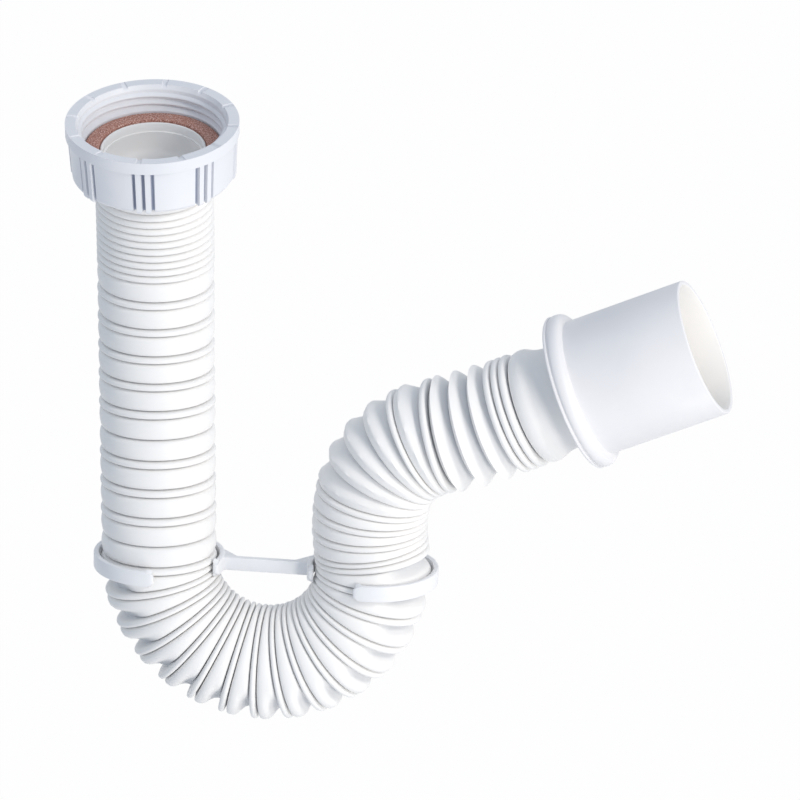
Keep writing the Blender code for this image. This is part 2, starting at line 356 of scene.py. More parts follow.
def new_group(
    name: str, inputs: Sequence[tuple[str, str, object]], outputs: Sequence[tuple[str, str]]
) -> tuple[bpy.types.NodeTree, NodeSheet, bpy.types.Node, bpy.types.Node]:
    """Start a shader node group with named sockets.

    Args:
        name: Name of the group.
        inputs: Name, kind and first value of each input.
        outputs: Name and kind of each output.

    Returns:
        The group, a sheet to place nodes on, and its input and output nodes.
    """
    group = bpy.data.node_groups.new(name, "ShaderNodeTree")
    for label, kind, value in inputs:
        socket = group.interface.new_socket(label, in_out="INPUT", socket_type="NodeSocket" + kind)
        if value is not None:
            socket.default_value = value
    for label, kind in outputs:
        group.interface.new_socket(label, in_out="OUTPUT", socket_type="NodeSocket" + kind)
    sheet = NodeSheet(group)
    return group, sheet, sheet.add("NodeGroupInput"), sheet.add("NodeGroupOutput")


def moulded_skin() -> bpy.types.NodeTree:
    """Skin of a moulding: cloudy colour, patchy gloss, and the fine grain and waves of the mould.

    Returns:
        A group that puts out a colour, a roughness and a height.
    """
    group, sheet, given, made = new_group(
        "moulded_skin",
        (
            ("Vector", "Vector", None), ("Base", "Color", (0.8, 0.8, 0.8, 1)),
            ("Cloud", "Color", (0.75, 0.75, 0.75, 1)), ("Cloud Size", "Float", 60.0),
            ("Gloss", "Float", 0.35), ("Gloss Spread", "Float", 0.08),
            ("Grain Size", "Float", 2200.0), ("Grain Share", "Float", 0.35),
        ),
        (("Color", "Color"), ("Roughness", "Float"), ("Height", "Float")),
    )
    where = given.outputs["Vector"]
    cloud = sheet.add("TexNoise", Vector=where, Scale=given.outputs["Cloud Size"], Detail=4.0)
    waves = sheet.add("TexNoise", Vector=where, Scale=260.0, Detail=2.0, Roughness=0.45)
    grain = sheet.add("TexNoise", Vector=where, Scale=given.outputs["Grain Size"], Detail=3.0)
    specks = sheet.add("TexVoronoi", Vector=where, Scale=420.0, Randomness=1.0)
    colour = sheet.mix(
        sheet.spread(cloud.outputs[0], 0.38, 0.66), given.outputs["Base"], given.outputs["Cloud"]
    )
    speck = sheet.spread(specks.outputs["Distance"], 0.03, 0.07, 0.10, 0.0)
    sheet.feed(made.inputs["Color"], sheet.mix(speck, colour, (0.42, 0.40, 0.37, 1)))
    patch = sheet.spread(cloud.outputs[0], 0.3, 0.7, -1.0, 1.0)
    gloss = sheet.sum("MULTIPLY_ADD", patch, given.outputs["Gloss Spread"], given.outputs["Gloss"])
    grained = sheet.sum("MULTIPLY_ADD", grain.outputs[0], 0.06, gloss)
    sheet.feed(made.inputs["Roughness"], grained)
    mixed = sheet.add("Mix", data_type="FLOAT")
    sheet.feed(mixed.inputs[0], given.outputs["Grain Share"])
    sheet.feed(mixed.inputs[2], waves.outputs[0])
    sheet.feed(mixed.inputs[3], grain.outputs[0])
    sheet.feed(made.inputs["Height"], mixed.outputs[0])
    return group


def painted_depth_shading() -> bpy.types.NodeTree:
    """Colour painted in where a surface lies deep, read from the piece's own attribute: painted
    shade where the deep colour is darker, painted light where it is paler.

    Returns:
        A group that puts out a colour.
    """
    group, sheet, given, made = new_group(
        "painted_depth_shading",
        (
            ("Color", "Color", (0.8, 0.8, 0.8, 1)), ("Deep Color", "Color", (0.4, 0.42, 0.46, 1)),
            ("From", "Float", 0.3), ("Strength", "Float", 0.5),
        ),
        (("Color", "Color"),),
    )
    depth = sheet.add("Attribute", attribute_name="depth")
    away = sheet.sum("SUBTRACT", depth.outputs["Fac"], given.outputs["From"])
    span = sheet.sum("SUBTRACT", 1.0, given.outputs["From"])
    share = sheet.sum("DIVIDE", away, span)
    mask = sheet.spread(share, 0.0, 1.0)
    part = sheet.sum("MULTIPLY", mask, given.outputs["Strength"])
    sheet.feed(
        made.inputs["Color"], sheet.mix(part, given.outputs["Color"], given.outputs["Deep Color"])
    )
    return group


Colour = tuple[float, float, float, float]


def blank_material(name: str) -> tuple[bpy.types.Material, NodeSheet, bpy.types.Node]:
    """Start a material.

    Args:
        name: Its name.

    Returns:
        The material, a sheet to place nodes on, and its shader.
    """
    material = bpy.data.materials.new(name)
    material.use_nodes = True
    return material, NodeSheet(material.node_tree), material.node_tree.nodes["Principled BSDF"]


def dress(
    sheet: NodeSheet, shader: bpy.types.Node, skin: bpy.types.Node,
    colour: bpy.types.NodeSocket, bump: bpy.types.Node,
) -> None:
    """Wire a skin, its colour and its bump to a shader.

    Args:
        sheet: The material's sheet.
        shader: The material's shader.
        skin: The node of the moulded skin.
        colour: The colour that the surface takes.
        bump: The bump node, with its strength and height set.
    """
    sheet.feed(bump.inputs["Height"], skin.outputs["Height"])
    sheet.feed(shader.inputs["Base Color"], colour)
    sheet.feed(shader.inputs["Roughness"], skin.outputs["Roughness"])
    sheet.feed(shader.inputs["Normal"], bump.outputs["Normal"])


@dataclass(frozen=True)
class MouldedPlastic:
    """A white moulded plastic with its skin and, where asked, a colour painted where it lies deep:
    painted shade in valleys and grooves, painted light in a bore.
    """

    name: str
    base: Colour
    cloud: Colour
    gloss: float
    gloss_spread: float = 0.06
    cloud_size: float = 60.0
    grain_size: float = 2200.0
    grain_share: float = 0.35
    bump: float = 0.25
    bump_height: float = 0.05 * MM
    # Colour and strength painted where the surface lies deep, as painted shade when darker and
    # painted light when paler
    painted_deep_colour: Colour | None = None
    painted_deep_strength: float = 0.5
    bend_of_light: float = 1.49
    sheen_level: float = 0.35

    def make(self, groups: dict[str, bpy.types.NodeTree]) -> bpy.types.Material:
        """Build the material.

        Args:
            groups: The shared node groups by name.

        Returns:
            The material.
        """
        material, sheet, shader = blank_material(self.name)
        skin = sheet.place_group(
            groups["moulded_skin"], Vector=sheet.add("TexCoord").outputs["Object"],
            Base=self.base, Cloud=self.cloud, Cloud_Size=self.cloud_size, Gloss=self.gloss,
            Gloss_Spread=self.gloss_spread, Grain_Size=self.grain_size,
            Grain_Share=self.grain_share,
        )
        colour = skin.outputs["Color"]
        # Painted shade or painted light from the piece's depth attribute
        if self.painted_deep_colour:
            deep = sheet.place_group(
                groups["painted_depth_shading"], Color=colour, Deep_Color=self.painted_deep_colour,
                Strength=self.painted_deep_strength,
            )
            colour = deep.outputs["Color"]
        bump = sheet.add("Bump", Strength=self.bump, Distance=self.bump_height)
        dress(sheet, shader, skin, colour, bump)
        shader.inputs["IOR"].default_value = self.bend_of_light
        shader.inputs["Specular IOR Level"].default_value = self.sheen_level
        return material


@dataclass(frozen=True)
class GrainyRubber:
    """A reddish-brown rubber with pale and dark grains and a matt, pitted skin."""

    name: str = "washer_rubber_skin"
    base: Colour = (0.50, 0.245, 0.19, 1)
    cloud: Colour = (0.43, 0.20, 0.155, 1)
    dark: Colour = (0.22, 0.085, 0.065, 1)
    pale: Colour = (0.78, 0.58, 0.50, 1)
    cloud_size: float = 210.0
    gloss: float = 0.72
    pepper_size: float = 2300.0
    pepper_share: float = 0.9
    pit_depth: float = 0.12 * MM

    def make(self, groups: dict[str, bpy.types.NodeTree]) -> bpy.types.Material:
        """Build the material.

        Args:
            groups: The shared node groups by name.

        Returns:
            The material.
        """
        material, sheet, shader = blank_material(self.name)
        place = sheet.add("TexCoord").outputs["Object"]
        skin = sheet.place_group(
            groups["moulded_skin"], Vector=place, Base=self.base, Cloud=self.cloud,
            Cloud_Size=self.cloud_size, Gloss=self.gloss, Gloss_Spread=0.1, Grain_Size=3600.0,
            Grain_Share=0.8,
        )
        grains = sheet.add(
            "TexNoise", Vector=place, Scale=self.pepper_size, Detail=2.0, Roughness=0.6
        )
        dark_share = sheet.spread(grains.outputs[0], 0.48, 0.36, 0.0, self.pepper_share)
        pale_share = sheet.spread(grains.outputs[0], 0.53, 0.64, 0.0, self.pepper_share)
        peppered = sheet.mix(dark_share, skin.outputs["Color"], self.dark)
        bump = sheet.add("Bump", Strength=0.5, Distance=self.pit_depth)
        dress(sheet, shader, skin, sheet.mix(pale_share, peppered, self.pale), bump)
        return material


# The pipe's course


class Section(NamedTuple):
    """A run of folds, and how it turns."""

    folds: str
    turn_deg: float
    tip_deg: float
    pressed: bool
    hump: Hump


class Laid(NamedTuple):
    """One fold on its course."""

    kind: Fold
    start: Station
    length: float
    bend: float
    tip: float
    hump: Hump
    begins_at: float


@dataclass
class Course:
    """The line that the pipe follows, fold by fold, as in the solids."""

    open_pitch: float = 6.37 * MM
    shut_pitch: float = 2.40 * MM
    pressed_pitch: float = 1.62 * MM
    crest_r: float = 16.8 * MM
    start_z: float = -11.1 * MM
    sections: tuple[Section, ...] = (
        Section("cc", 0.0, 0.0, False, Hump.BARREL),
        Section("c" * 9 + "ec" * 4 + "e", 1.5, -14.7, False, Hump.BARREL),
        Section("ceecececeec", 0.0, 0.0, False, Hump.BARREL),
        Section("ece" + "ce" * 13 + "c", 187.3, 0.0, True, Hump.FAN),
        Section("c", 0.0, -3.1, False, Hump.BARREL),
        Section("ec" * 3, -20.3, 0.0, True, Hump.BARREL),
        Section("eeeece", -60.4, -4.5, True, Hump.RIDGE),
        Section("ceeeccc", 7.0, 1.0, False, Hump.CONE),
    )
    folds: list[Laid] = field(default_factory=list)
    length: float = 0.0
    last: Station | None = None

    def lay(self) -> None:
        """Lay every fold after the one before it."""
        station = Station(Vector((0, 0, self.start_z)), Vector((0, 0, -1)), Vector((0, -1, 0)))
        begins_at = 0.0
        for section in self.sections:
            for kind, length, bend, tip in self.plan(section):
                laid = Laid(kind, station, length, bend, tip, section.hump, begins_at)
                self.folds.append(laid)
                station = self.part_way(laid, 1.0)
                begins_at += length
        self.last = station
        self.length = begins_at

    def plan(self, section: Section) -> list[tuple[Fold, float, float, float]]:
        """Kind, length, bend and tip of each fold in one section.

        Args:
            section: The section of the course.

        Returns:
            One row a fold.
        """
        total = radians(section.turn_deg)
        tip = radians(section.tip_deg) / len(section.folds)
        shut_bend = 0.0
        if section.pressed:
            spare = self.shut_pitch - self.pressed_pitch
            shut_bend = spare / (2 * self.crest_r) * (1 if total > 0 else -1)
        opens = max(section.folds.count("e"), 1)
        open_bend = (total - section.folds.count("c") * shut_bend) / opens
        rows = []
        for letter in section.folds:
            kind = Fold(letter)
            bend = open_bend if kind is Fold.OPEN else shut_bend
            length = self.open_pitch if kind is Fold.OPEN else self.shut_pitch
            if section.pressed:
                length = self.pressed_pitch + abs(bend) * self.crest_r
            rows.append((kind, length, bend, tip))
        return rows

    @staticmethod
    def part_way(fold: Laid, share: float) -> Station:
        """The station a share of the way through a fold.

        Args:
            fold: The fold.
            share: Share of its length, from 0 to 1.

        Returns:
            The station there.
        """
        point, along, side = fold.start
        across = side.cross(along)
        half_tip = Matrix.Rotation(share * fold.tip / 2, 3, across)
        half_bend = Matrix.Rotation(share * fold.bend / 2, 3, side)
        chord = half_tip @ half_bend @ along
        tipped = Matrix.Rotation(share * fold.tip, 3, across)
        swung = tipped @ Matrix.Rotation(share * fold.bend, 3, side)
        return Station(point + chord * (share * fold.length), swung @ along, tipped @ side)

    def fold_at(self, distance: float) -> Laid | None:
        """The fold that holds a distance along the pipe.

        Args:
            distance: Distance from the first fold's start.

        Returns:
            The fold, or nothing before and after the folds.
        """
        if distance < 0.0 or distance >= self.length:
            return None
        low, high = 0, len(self.folds) - 1
        while low < high:
            middle = (low + high + 1) // 2
            if self.folds[middle].begins_at <= distance + 1e-9:
                low = middle
            else:
                high = middle - 1
        return self.folds[low]

    def station_at(self, distance: float) -> Station:
        """The station at a distance along the pipe, straight on at both ends.

        Args:
            distance: Distance from the first fold's start.

        Returns:
            The station there.
        """
        fold = self.fold_at(distance)
        if fold:
            return self.part_way(fold, (distance - fold.begins_at) / fold.length)
        first = self.folds[0].start
        if distance < 0.0:
            return Station(first.point + first.along * distance, first.along, first.side)
        past = self.last.along * (distance - self.length)
        return Station(self.last.point + past, self.last.along, self.last.side)


@dataclass
class BellowsPipe:
    """The flexible pipe: flange, throat, folds, cuff and snap rim in one wall."""

    course: Course
    steps: int = 72
    bore_r: float = 12.3 * MM
    valley_r: float = 13.2 * MM
    outermost_r: float = 17.3 * MM
    flange_r: float = 19.3 * MM
    flange_top_z: float = -2.5 * MM
    flange_foot_z: float = -5.1 * MM
    lip_top_z: float = -0.6 * MM
    lip_r: float = 15.05 * MM
    neck_r: float = 15.9 * MM
    throat_r: float = 14.3 * MM
    throat_step_at: float = 2.6 * MM
    throat_step: float = 0.35 * MM
    edge: float = 0.25 * MM
    ridge_share: float = 0.57
    crease_share: float = 0.52
    crease_lean: float = 0.26
    # How far a fold is open, as a share of its full pitch, where its shape starts and ends to turn
    barrel_to_fan: tuple[float, float] = (1.05, 1.3)
    fan_opens: tuple[float, float] = (0.85, 1.15)
    shape_opens: tuple[float, float] = (0.35, 0.75)
    blend_from: float = 40.0 * MM
    blend_to: float = 6.0 * MM

    # Share of an open fold, then its radius in millimetres as a barrel, fan, ridge and cone
    open_fold: tuple[tuple[float, float, float, float, float], ...] = (
        (0.0, 13.4, 13.2, 13.4, 13.2), (0.02, 14.8, 14.6, 14.9, 13.6),
        (0.045, 15.9, 15.8, 15.9, 14.3), (0.09, 16.4, 16.7, 16.25, 15.1),
        (0.16, 16.7, 17.0, 16.4, 15.9), (0.24, 16.8, 17.0, 16.5, 16.7),
        (0.29, 16.85, 16.98, 16.6, 17.3), (0.36, 16.88, 16.9, 16.7, 16.98),
        (0.48, 16.88, 16.3, 16.95, 16.35), (0.57, 16.82, 15.35, 17.18, 15.8),
        (0.62, 16.78, 14.8, 16.7, 15.45), (0.74, 16.65, 13.9, 15.75, 14.75),
        (0.85, 16.45, 13.5, 15.0, 14.1), (0.92, 16.2, 13.35, 14.6, 13.75),
        (0.96, 15.7, 13.3, 14.2, 13.5), (0.985, 14.6, 13.25, 13.8, 13.3),
    )
    # Share of a shut fold and its radius in millimetres
    shut_fold: tuple[tuple[float, float], ...] = (
        (0.0, 13.4), (0.05, 15.2), (0.10, 16.1), (0.20, 16.7), (0.38, 16.95), (0.62, 16.95),
        (0.80, 16.7), (0.90, 16.1), (0.95, 15.2),
    )
    # Distance past the last fold and radius of the cuff and its snap rim, in millimetres
    cuff_skin: tuple[tuple[float, float], ...] = (
        (0.0, 13.3), (0.25, 14.6), (0.7, 15.7), (1.4, 16.35), (2.4, 16.7), (3.3, 16.85),
        (4.0, 16.85), (4.6, 16.75), (5.3, 16.45), (6.2, 16.0), (7.2, 15.6), (8.4, 15.25),
        (9.8, 15.1), (11.2, 15.0), (16.8, 15.0), (16.8, 16.9), (17.2, 17.2), (18.8, 16.3),
    )
    # The same of the cuff's bore
    cuff_bore: tuple[tuple[float, float], ...] = (
        (0.0, 12.3), (2.2, 15.2), (4.0, 15.6), (9.8, 13.6), (18.8, 13.6),
    )
    # Share of an open fold and the radius of its inner skin in millimetres
    inner_fold: tuple[tuple[float, float], ...] = (
        (0.20, 14.0), (0.40, 14.8), (0.62, 14.2), (0.84, 12.9),
    )

    def fold_radius(self, fold: Laid, share: float, front: float, across: float) -> float:
        """Radius of the fold's skin at one point round the pipe.

        Args:
            fold: The fold.
            share: How far through the fold the point is.
            front: Cosine of the point's angle from the pipe's front.
            across: Its sine.

        Returns:
            The radius in metres.
        """
        row = next(row for row in self.open_fold if abs(row[0] - share) < 1e-6)
        barrel, fan = row[Hump.BARREL.value], row[Hump.FAN.value]
        local = fold.length + self.course.crest_r * (fold.tip * front - fold.bend * across)
        opened = local / self.course.open_pitch
        if fold.hump is Hump.BARREL:
            return (barrel + (fan - barrel) * smooth(opened, *self.barrel_to_fan)) * MM
        if fold.hump is Hump.FAN:
            return (barrel + (fan - barrel) * smooth(opened, *self.fan_opens)) * MM
        shaped = row[fold.hump.value]
        if fold.hump is Hump.RIDGE:
            shaped = self.ridge_radius(share, across)
        return (barrel + (shaped - barrel) * smooth(opened, *self.shape_opens)) * MM

    def ridge_radius(self, share: float, across: float) -> float:
        """Radius of a ridged fold, whose crease runs aslant round the pipe.

        Args:
            share: How far through the fold the point is.
            across: Sine of the point's angle from the pipe's front.

        Returns:
            The radius in millimetres.
        """
        crease = self.crease_share - self.crease_lean * across
        if share < crease:
            drawn = share * self.ridge_share / crease
        else:
            drawn = self.ridge_share + (share - crease) / (1.0 - crease) * (1.0 - self.ridge_share)
        return between([(row[0], row[Hump.RIDGE.value]) for row in self.open_fold], drawn)

    def section(self) -> list[tuple[float, float]]:
        """Closed section of the straight pipe, as radius and depth below the first fold.

        Returns:
            Its corners in order, the outer skin first.
        """
        start_z = self.course.start_z
        total = self.course.length
        flange_foot = start_z - self.flange_foot_z
        flange_top = start_z - self.flange_top_z
        lip_top = start_z - self.lip_top_z
        edge = self.edge
        outside = [
            (self.lip_r - edge, lip_top), (self.lip_r, lip_top + edge),
            (self.lip_r, flange_top), (self.flange_r - edge, flange_top),
            (self.flange_r, flange_top + edge), (self.flange_r, flange_foot),
            (self.neck_r, flange_foot),
            (self.neck_r, -1.8 * MM), (self.neck_r - 0.4 * MM, -0.6 * MM),
            (self.neck_r - 1.6 * MM, -0.15 * MM),
        ]
        for fold in self.course.folds:
            rows = self.open_fold if fold.kind is Fold.OPEN else self.shut_fold
            for row in rows:
                outside.append((row[1] * MM, fold.begins_at + row[0] * fold.length))
        outside += [(radius * MM, total + distance * MM) for distance, radius in self.cuff_skin]
        step = lip_top + self.throat_step_at
        inner_r = self.throat_r - self.throat_step
        inside = [
            (self.throat_r + 0.2 * MM, lip_top), (self.throat_r, lip_top + edge),
            (self.throat_r, step), (inner_r, step + 0.12 * MM),
            (inner_r, -3.0 * MM), (13.4 * MM, -1.2 * MM),
        ]
        before = Fold.OPEN
        for fold in self.course.folds:
            if fold.kind is Fold.OPEN or before is Fold.OPEN or fold.bend:
                inside.append((self.bore_r, fold.begins_at))
            if fold.kind is Fold.OPEN:
                for share, radius in self.inner_fold:
                    inside.append((radius * MM, fold.begins_at + share * fold.length))
            before = fold.kind
        inside += [(radius * MM, total + distance * MM) for distance, radius in self.cuff_bore]
        return outside + inside[::-1]

    def bend(self, mesh: bmesh.types.BMesh) -> None:
        """Lay the straight pipe along its course, and note how deep each point lies, for the
        painted shade in its valleys.

        Args:
            mesh: The straight pipe, with depth along -Z.
        """
        deep = mesh.verts.layers.float.new("depth")
        shares = [row[0] for row in self.open_fold]
        radii = [row[1] * MM for row in self.open_fold]
        stations: dict[float, Station] = {}
        for vert in mesh.verts:
            distance = round(-vert.co.z, 8)
            radius = hypot(vert.co.x, vert.co.y)
            front, across = vert.co.x / radius, vert.co.y / radius
            fold = self.course.fold_at(distance)
            skin_r = radius
            if fold and fold.kind is Fold.OPEN:
                share = (distance - fold.begins_at) / fold.length
                near = min(range(len(shares)), key=lambda k: abs(shares[k] - share))
                on_skin = abs(shares[near] - share) < 1e-4 and abs(radii[near] - radius) < NEAR
                if on_skin:
                    skin_r = self.fold_radius(fold, shares[near], front, across)
            if distance not in stations:
                stations[distance] = self.course.station_at(distance)
            point, along, side = stations[distance]
            outward = side * front + side.cross(along) * across
            vert.co = point + outward * skin_r
            # How deep the skin lies below the crests sets the painted shade in the valleys and the
            # bore; none before the first fold
            span = self.outermost_r - self.valley_r
            depth = min(max((self.outermost_r - skin_r) / span, 0.0), 1.0)
            vert[deep] = depth if distance > 0.0 else 0.0

    def build(self, material: bpy.types.Material) -> bpy.types.Object:
        """Build and place the pipe.

        Args:
            material: Its finish.

        Returns:
            The pipe.
        """
        section = [(radius, -depth) for radius, depth in self.section()]
        mesh = revolve(section, self.steps)
        self.bend(mesh)
        bmesh.ops.recalc_face_normals(mesh, faces=mesh.faces)
        piece = finish_piece("bellows_pipe_skin", mesh, material, 55.0)
        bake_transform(piece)
        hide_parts("bellows_pipe")
        return piece


@dataclass
class UnionNut:
    """The loose nut: plain rim, body with groups of grip grooves, thread and floor."""

    columns: int = 720
    rim_r: float = 24.7 * MM
    body_r: float = 23.9 * MM
    foot_r: float = 23.2 * MM
    top_z: float = 8.0 * MM
    rim_foot_z: float = 4.5 * MM
    foot_z: float = -8.6 * MM
    floor_z: float = -5.4 * MM
    floor_bore_r: float = 17.8 * MM
    seat_r: float = 19.7 * MM
    root_r: float = 20.95 * MM
    rim_bore_r: float = 21.3 * MM
    thread_r: float = 20.1 * MM
    pitch: float = 2.309 * MM
    turns: float = 2.0
    groups: int = 8
    first_deg: float = -87.5
    groove_step_deg: float = 6.5
    groove_half_deg: float = 1.0
    groove_depth: float = 1.1 * MM
    rib_drop: float = 0.35 * MM
    rib_rise: float = 0.35 * MM
    notches: int = 12
    notch_half_deg: float = 1.6
    notch_depth: float = 0.45 * MM

    def section(self) -> list[tuple[float, float]]:
        """Closed section of the nut as radius and height.

        Returns:
            Its corners in order.
        """
        return [
            (self.rim_r, self.top_z), (self.rim_r, self.rim_foot_z),
            (self.body_r + 0.1 * MM, self.rim_foot_z), (self.body_r, self.rim_foot_z - 0.3 * MM),
            (self.body_r - 0.25 * MM, 0.5 * MM), (self.foot_r + 0.2 * MM, -4.0 * MM),
            (self.foot_r, self.foot_z + 0.7 * MM), (self.foot_r - 0.5 * MM, self.foot_z),
            (self.root_r + 0.2 * MM, self.foot_z),
            (self.floor_bore_r, self.foot_z), (self.floor_bore_r, self.floor_z),
            (self.seat_r, self.floor_z), (self.seat_r, 0.4 * MM), (self.root_r, 1.4 * MM),
            (self.root_r, self.top_z - 1.3 * MM), (self.rim_bore_r, self.top_z - 0.7 * MM),
            (self.rim_bore_r + 0.35 * MM, self.top_z),
        ]

    def groove_share(self, angle_deg: float) -> float:
        """How deep the grip is cut at an angle.

        Args:
            angle_deg: The angle round the nut.

        Returns:
            Share of a groove's full depth, from 0 to 1.
        """
        step = 360.0 / self.groups
        away = (angle_deg - self.first_deg + step / 2) % step - step / 2
        nearest = min(abs(away - offset * self.groove_step_deg) for offset in (-1, 0, 1))
        if nearest > self.groove_half_deg + 0.1:
            return 0.0
        return 1.0 if nearest < self.groove_half_deg - 0.2 else 0.72

    def on_rib(self, angle_deg: float) -> bool:
        """Whether an angle lies on a rib between two grooves of one group.

        Args:
            angle_deg: The angle round the nut.

        Returns:
            True on a rib.
        """
        step = 360.0 / self.groups
        away = abs((angle_deg - self.first_deg + step / 2) % step - step / 2)
        return away < self.groove_step_deg and self.groove_share(angle_deg) == 0.0

    def cut_grip(self, mesh: bmesh.types.BMesh) -> None:
        """Press the grooves into the body, note their depth for the painted shade in them, and let
        the ribs between them stand out and reach lower.

        Args:
            mesh: The turned nut.
        """
        deep = mesh.verts.layers.float.new("depth")
        for vert in mesh.verts:
            radius = hypot(vert.co.x, vert.co.y)
            angle = degrees(atan2(vert.co.y, vert.co.x))
            if radius < self.root_r + 0.4 * MM or vert.co.z > self.rim_foot_z + 0.1 * MM:
                continue
            if vert.co.z > self.rim_foot_z - 0.1 * MM and radius > self.rim_r - 0.1 * MM:
                continue
            share = self.groove_share(angle)
            rib = self.on_rib(angle)
            scale = 1.0 + ((self.rib_rise if rib else 0.0) - self.groove_depth * share) / radius
            vert.co.x *= scale
            vert.co.y *= scale
            # Groove depth sets the painted shade, dark blue-grey, in the grooves
            vert[deep] = share
            if rib and vert.co.z < self.foot_z + 1.0 * MM:
                vert.co.z -= self.rib_drop

    def cut_notches(self, mesh: bmesh.types.BMesh) -> None:
        """Nick the inner edge of the rim at even steps.

        Args:
            mesh: The turned nut.
        """
        step = 360.0 / self.notches
        for vert in mesh.verts:
            radius = hypot(vert.co.x, vert.co.y)
            if vert.co.z < self.top_z - 0.1 * MM or radius > self.rim_bore_r + 0.5 * MM:
                continue
            angle = degrees(atan2(vert.co.y, vert.co.x))
            away = abs((angle + step / 2) % step - step / 2)
            if away < self.notch_half_deg:
                vert.co.z -= self.notch_depth

    def thread(self) -> bmesh.types.BMesh:
        """The thread's ridge, wound up the nut's bore and capped flat at both ends.

        Returns:
            A closed mesh whose root lies in the nut's wall.
        """
        mesh = bmesh.new()
        root = self.root_r + 0.35 * MM
        low = 1.9 * MM
        ridge = (
            (root, -0.95), (self.root_r - 0.05 * MM, -0.86), (self.root_r - 0.45 * MM, -0.5),
            (self.thread_r + 0.1 * MM, -0.25), (self.thread_r, 0.0),
            (self.thread_r + 0.1 * MM, 0.25), (self.root_r - 0.45 * MM, 0.5),
            (self.root_r - 0.05 * MM, 0.86), (root, 0.95),
        )
        outline = closed_loop(mesh, [(radius, 0.0, low + rise * MM) for radius, rise in ridge])
        steps = int(96 * self.turns)
        bmesh.ops.spin(
            mesh, geom=outline, cent=(0, 0, 0), axis=(0, 0, 1),
            dvec=(0, 0, self.pitch * self.turns / steps), angle=tau * self.turns, steps=steps,
        )
        ends = [edge for edge in mesh.edges if edge.is_boundary]
        bmesh.ops.holes_fill(mesh, edges=ends)
        bmesh.ops.recalc_face_normals(mesh, faces=mesh.faces)
        return mesh

    def build(self, material: bpy.types.Material) -> list[bpy.types.Object]:
        """Build and place the nut and its thread.

        Args:
            material: Their finish.

        Returns:
            The nut and the thread.
        """
        mesh = revolve(self.section(), self.columns)
        self.cut_grip(mesh)
        self.cut_notches(mesh)
        bmesh.ops.recalc_face_normals(mesh, faces=mesh.faces)
        nut = finish_piece("coupling_nut_skin", mesh, material, 30.0)
        thread = finish_piece("nut_thread", self.thread(), material, 60.0)
        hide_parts("coupling_nut")
        for piece in (nut, thread):
            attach(piece, Body.NUT.value)
        return [nut, thread]


@dataclass
class SealingWasher:
    """The flat rubber ring on the pipe's flange."""

    outer_r: float = 19.4 * MM
    bore_r: float = 15.3 * MM
    thickness: float = 2.4 * MM
    rounding: float = 0.3 * MM

    def build(self, material: bpy.types.Material) -> bpy.types.Object:
        """Build and place the washer.

        Args:
            material: Its finish.

        Returns:
            The washer.
        """
        corners = [
            (radius, height)
            for radius, height in (
                (self.outer_r, 0.0), (self.outer_r, -self.thickness),
                (self.bore_r, -self.thickness), (self.bore_r, 0.0),
            )
        ]
        mesh = revolve(corners, 128)
        round_rings(mesh, [(radius, height, self.rounding) for radius, height in corners])
        piece = finish_piece("sealing_washer_skin", mesh, material, 50.0)
        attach(piece, Body.PIPE.value)
        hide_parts("sealing_washer")
        return piece


@dataclass
class OutletSpigot:
    """The rigid sleeve with its rolled bead, snapped on the pipe's cuff."""

    course: Course
    at: float = 14.5 * MM
    sleeve_r: float = 20.0 * MM
    bore_r: float = 18.0 * MM
    length: float = 40.8 * MM
    bead_r: float = 22.9 * MM
    bead_length: float = 5.2 * MM
    mouth_flare: float = 0.7 * MM
    flare_depth: float = 9.0 * MM
    web: float = 2.0 * MM
    web_bore_r: float = 15.4 * MM
    rounding: float = 0.35 * MM
    # Inset from the bead's crest and distance along the bead, in millimetres
    bead: tuple[tuple[float, float], ...] = (
        (0.9, 0.0), (0.3, 0.12), (0.0, 0.45), (0.08, 0.85), (0.48, 1.02), (0.5, 1.22),
        (0.2, 1.42), (0.0, 1.95), (0.0, 2.7), (0.12, 3.4), (0.42, 4.05), (0.9, 4.55),
        (1.5, 4.85), (2.2, 5.0), (2.75, 5.05),
    )

    def section(self) -> list[tuple[float, float]]:
        """Closed section as radius and distance from the web.

        Returns:
            Its corners in order.
        """
        points = [(self.web_bore_r, 0.0)]
        points += [(self.bead_r - inset * MM, at * MM) for inset, at in self.bead]
        points += [
            (self.sleeve_r, self.bead_length), (self.sleeve_r, self.length / 2),
            (self.sleeve_r, self.length), (self.bore_r + self.mouth_flare, self.length),
            (self.bore_r + 0.1 * MM, self.length - self.flare_depth),
            (self.bore_r, self.length / 2), (self.bore_r, self.web), (self.web_bore_r, self.web),
        ]
        return points

    def build(self, material: bpy.types.Material) -> bpy.types.Object:
        """Build and place the spigot.

        Args:
            material: Its finish.

        Returns:
            The spigot.
        """
        mesh = revolve(self.section(), 160)
        round_rings(
            mesh,
            (
                (self.sleeve_r, self.length, self.rounding),
                (self.bore_r + self.mouth_flare, self.length, self.rounding),
                (self.web_bore_r, 0.0, 0.3 * MM),
            ),
        )
        # Mark the inside of the bore, where the finish paints light in, paler and warmer
        inner = mesh.verts.layers.float.new("depth")
        for vert in mesh.verts:
            inside = hypot(vert.co.x, vert.co.y) < self.bore_r + self.mouth_flare + 0.05 * MM
            vert[inner] = 1.0 if inside and vert.co.z > self.web - 0.1 * MM else 0.0
        root = self.course.station_at(self.course.length + self.at)
        turn = to_frame(root.point, root.side, root.along.cross(root.side), root.along)
        bmesh.ops.transform(mesh, matrix=turn, verts=mesh.verts)
        bmesh.ops.recalc_face_normals(mesh, faces=mesh.faces)
        piece = finish_piece("outlet_spigot_skin", mesh, material, 40.0)
        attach(piece, Body.OUTLET.value)
        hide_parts("outlet_spigot")
        return piece


